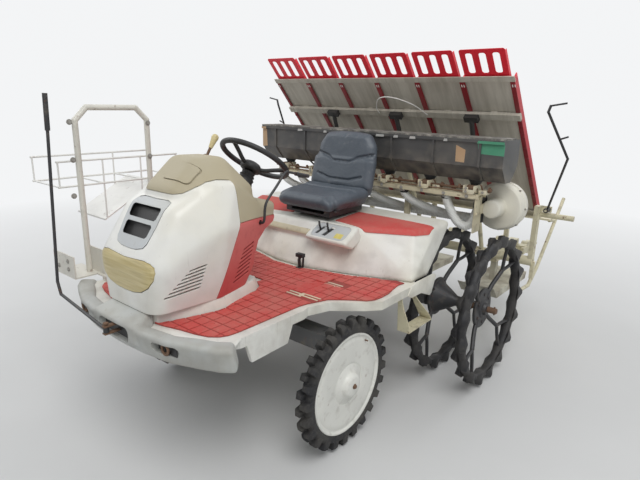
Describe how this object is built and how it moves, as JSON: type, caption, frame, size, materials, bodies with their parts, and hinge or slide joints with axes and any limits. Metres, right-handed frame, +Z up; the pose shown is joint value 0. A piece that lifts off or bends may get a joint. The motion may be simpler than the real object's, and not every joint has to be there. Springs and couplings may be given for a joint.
{
  "type": "riding rice transplanter",
  "caption": "Riding rice transplanter with lugged wheels, hood, seat, fertiliser hopper, lift links, sliding seedling table, planting rotors and floats.",
  "frame": {"origin": "on the ground, at the centre of the whole machine's box", "axes": "+Z up, -Y the machine's front, +X the machine's left"},
  "size_m": [2.1936, 3.1703, 1.8767],
  "materials": {
    "chassis_steel": "satin",
    "engine": "cast",
    "black_case": "satin",
    "white_cover": "semi-gloss",
    "lamp_lens": "yellowed lens",
    "grey_plastic": "matte",
    "beige_cover": "matte",
    "red_cover": "faded gloss",
    "bumper_grey": "matte",
    "red_mat": "ribbed",
    "panel_grey": "matte",
    "black_rod": "satin",
    "seat_vinyl": "seamed vinyl",
    "black_plastic": "satin",
    "white_tube": "gloss",
    "white_wire": "gloss",
    "cream_steel": "satin",
    "hopper_smoke": "smoked",
    "beige_steel": "satin",
    "cream_plastic": "matte",
    "white_hose": "corrugated",
    "blower_white": "satin",
    "hopper_lid": "smoked",
    "tyre": "rubber",
    "white_disc": "gloss",
    "black_wheel": "rubber",
    "float_white": "matte",
    "cream_cast": "satin",
    "table_sheet": "weathered",
    "red_plastic": "faded"
  },
  "bodies": {
    "chassis": {"frame_rails": "chassis_steel", "engine_block": "engine", "front_axle_case": "black_case", "rear_axle_case": "black_case", "bonnet": "white_cover", "headlamp": "lamp_lens", "grille": "grey_plastic", "top_cover": "beige_cover", "side_panels": "red_cover", "bumper": "bumper_grey", "deck": "white_cover", "deck_mats": "red_mat", "rear_cover": "white_cover", "control_panel": "panel_grey", "seat_base": "black_rod", "seat": "seat_vinyl", "steering_column": "black_rod", "levers": "black_rod", "pedals": "black_plastic", "rack_posts": "white_tube", "wire_rack": "white_wire", "step_brackets": "cream_steel", "hopper": "hopper_smoke", "hopper_stand": "beige_steel", "metering_units": "cream_plastic", "hoses": "white_hose", "blower": "blower_white"},
    "steering_wheel": {"steering_wheel": "black_plastic"},
    "fuel_lid": {"fuel_lid": "beige_cover"},
    "centre_marker": {"centre_marker": "black_rod"},
    "hopper_lid": {"hopper_lid": "hopper_lid"},
    "knuckle_left": {"knuckle_left": "black_case"},
    "knuckle_right": {"knuckle_right": "black_case"},
    "front_wheel_left": {"tyre_front_left": "tyre", "disc_front_left": "white_disc"},
    "front_wheel_right": {"tyre_front_right": "tyre", "disc_front_right": "white_disc"},
    "rear_wheels_left": {"rear_wheels_left": "black_wheel"},
    "rear_wheels_right": {"rear_wheels_right": "black_wheel"},
    "lower_links": {"lower_links": "black_rod"},
    "upper_link": {"upper_link": "black_rod"},
    "planting_section": {"planting_frame": "cream_steel", "floats": "float_white"},
    "rotor_left": {"rotor_left": "cream_cast"},
    "rotor_centre": {"rotor_centre": "cream_cast"},
    "rotor_right": {"rotor_right": "cream_cast"},
    "seedling_table": {"seedling_table": "table_sheet", "table_dividers": "red_plastic"},
    "side_marker_left": {"side_marker_left": "black_rod"},
    "side_marker_right": {"side_marker_right": "black_rod"}
  },
  "joints": [
    {"name": "steering", "type": "hinge", "parent": "chassis", "child": "steering_wheel", "pos_m": [0, -0.77316, 1.262], "axis": [0, 0.5736, 0.8192], "range_deg": [-320, 320]},
    {"name": "kingpin_left", "type": "hinge", "parent": "chassis", "child": "knuckle_left", "pos_m": [0.4935, -0.76316, 0.318], "axis": [0, 0, 1], "range_deg": [-32, 32]},
    {"name": "kingpin_right", "type": "hinge", "parent": "chassis", "child": "knuckle_right", "pos_m": [-0.4935, -0.76316, 0.318], "axis": [0, 0, 1], "range_deg": [-32, 32]},
    {"name": "front_wheel_left_spin", "type": "hinge", "parent": "knuckle_left", "child": "front_wheel_left", "pos_m": [0.6055, -0.76316, 0.318], "axis": [1, 0, 0], "continuous": true},
    {"name": "front_wheel_right_spin", "type": "hinge", "parent": "knuckle_right", "child": "front_wheel_right", "pos_m": [-0.6055, -0.76316, 0.318], "axis": [1, 0, 0], "continuous": true},
    {"name": "rear_wheels_left_spin", "type": "hinge", "parent": "chassis", "child": "rear_wheels_left", "pos_m": [0.6055, 0.25684, 0.441], "axis": [1, 0, 0], "continuous": true},
    {"name": "rear_wheels_right_spin", "type": "hinge", "parent": "chassis", "child": "rear_wheels_right", "pos_m": [-0.6055, 0.25684, 0.441], "axis": [1, 0, 0], "continuous": true},
    {"name": "lift", "type": "hinge", "parent": "chassis", "child": "lower_links", "pos_m": [0, 0.38684, 0.4], "axis": [1, 0, 0], "range_deg": [-29.5, 7]},
    {"name": "hitch_level", "type": "hinge", "parent": "lower_links", "child": "planting_section", "pos_m": [0, 0.90716, 0.52012], "axis": [1, 0, 0], "range_deg": [-7, 29.5]},
    {"name": "upper_link_swing", "type": "hinge", "parent": "chassis", "child": "upper_link", "pos_m": [0, 0.38684, 0.59], "axis": [1, 0, 0], "range_deg": [-29.5, 7]},
    {"name": "table_feed", "type": "slide", "parent": "planting_section", "child": "seedling_table", "axis": [1, 0, 0], "range_m": [-0.04, 0.24]},
    {"name": "rotor_left_spin", "type": "hinge", "parent": "planting_section", "child": "rotor_left", "pos_m": [0.6, 1.40716, 0.54612], "axis": [1, 0, 0], "continuous": true},
    {"name": "rotor_centre_spin", "type": "hinge", "parent": "planting_section", "child": "rotor_centre", "pos_m": [0, 1.40716, 0.54612], "axis": [1, 0, 0], "continuous": true},
    {"name": "rotor_right_spin", "type": "hinge", "parent": "planting_section", "child": "rotor_right", "pos_m": [-0.6, 1.40716, 0.54612], "axis": [1, 0, 0], "continuous": true},
    {"name": "side_marker_left_fold", "type": "hinge", "parent": "planting_section", "child": "side_marker_left", "pos_m": [0.925, 1.00216, 0.925], "axis": [0, 1, 0], "range_deg": [0, 95]},
    {"name": "side_marker_right_fold", "type": "hinge", "parent": "planting_section", "child": "side_marker_right", "pos_m": [-0.925, 1.00216, 0.925], "axis": [0, 1, 0], "range_deg": [-95, 0]},
    {"name": "centre_marker_swing", "type": "hinge", "parent": "chassis", "child": "centre_marker", "pos_m": [0, -1.57316, 0.676], "axis": [0, 0, 1], "range_deg": [0, 90]},
    {"name": "fuel_lid_hinge", "type": "hinge", "parent": "chassis", "child": "fuel_lid", "pos_m": [0.056, -1.19183, 1.32439], "axis": [1, 0, 0], "range_deg": [-94, 0]},
    {"name": "hopper_lid_hinge", "type": "hinge", "parent": "chassis", "child": "hopper_lid", "pos_m": [0, 0.17184, 1.4096], "axis": [1, 0, 0], "range_deg": [0, 95]}
  ],
  "couplings": [
    {"joint": "kingpin_left", "follows": "steering", "ratio": 0.1},
    {"joint": "kingpin_right", "follows": "steering", "ratio": 0.1},
    {"joint": "hitch_level", "follows": "lift", "ratio": -1},
    {"joint": "upper_link_swing", "follows": "lift", "ratio": 1}
  ]
}
